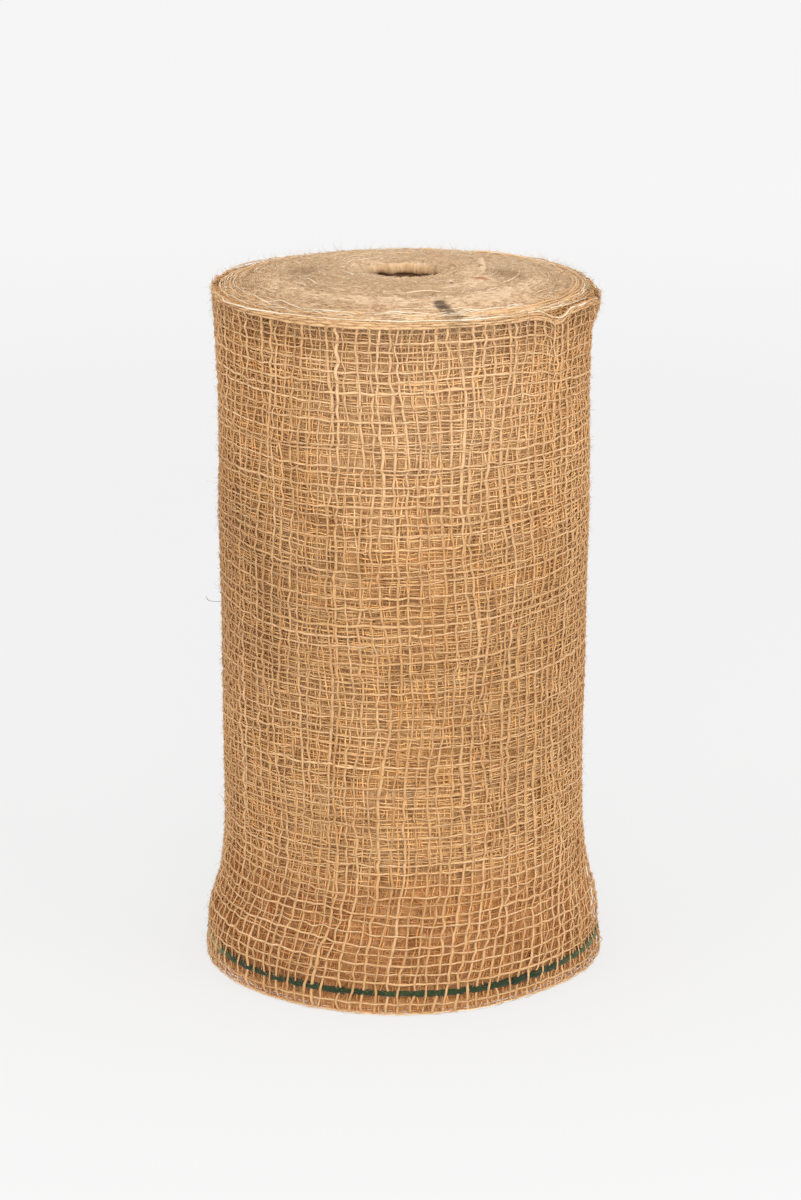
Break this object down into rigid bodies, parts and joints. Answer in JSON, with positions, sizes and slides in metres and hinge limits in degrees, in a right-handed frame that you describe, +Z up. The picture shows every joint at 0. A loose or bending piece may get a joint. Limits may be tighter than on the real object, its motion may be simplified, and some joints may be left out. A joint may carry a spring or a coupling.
{
  "type": "jute netting roll",
  "caption": "Roll of open-weave natural jute netting wound on a hollow paperboard core, standing on its end, with a free end that peels off.",
  "frame": {"origin": "centre of the roll's foot, on the surface that it stands on", "axes": "+Z up along the core's axis, -Y the roll's front, +X to the right of the front"},
  "size_m": [0.174, 0.174, 0.3055],
  "materials": {
    "kraft_board": "matt spiral-wound kraft paperboard",
    "kraft_tape": "matt kraft paper tape",
    "jute_net": "undyed open-weave jute, hairy and matt",
    "green_yarn": "dyed dark green jute yarn, matt",
    "cream_thread": "thin undyed cotton thread, matt"
  },
  "bodies": {
    "roll": {"core_tube": "kraft_board", "starter_tape": "kraft_tape", "net_windings": "jute_net", "net_outer_turn": "jute_net", "net_spread_foot": "jute_net", "marker_yarn": "green_yarn", "top_selvedge_thread": "cream_thread", "bottom_selvedge_thread": "cream_thread"},
    "free_end": {"net_free_end": "jute_net", "net_free_end_foot": "jute_net", "marker_yarn_free_end": "green_yarn", "top_selvedge_free_end": "cream_thread", "bottom_selvedge_free_end": "cream_thread"}
  },
  "joints": [
    {"name": "free_end_peel", "type": "hinge", "parent": "roll", "child": "free_end", "pos_m": [0.05699, -0.05699, 0.149], "axis": [0, 0, -1], "range_deg": [0, 50]}
  ]
}
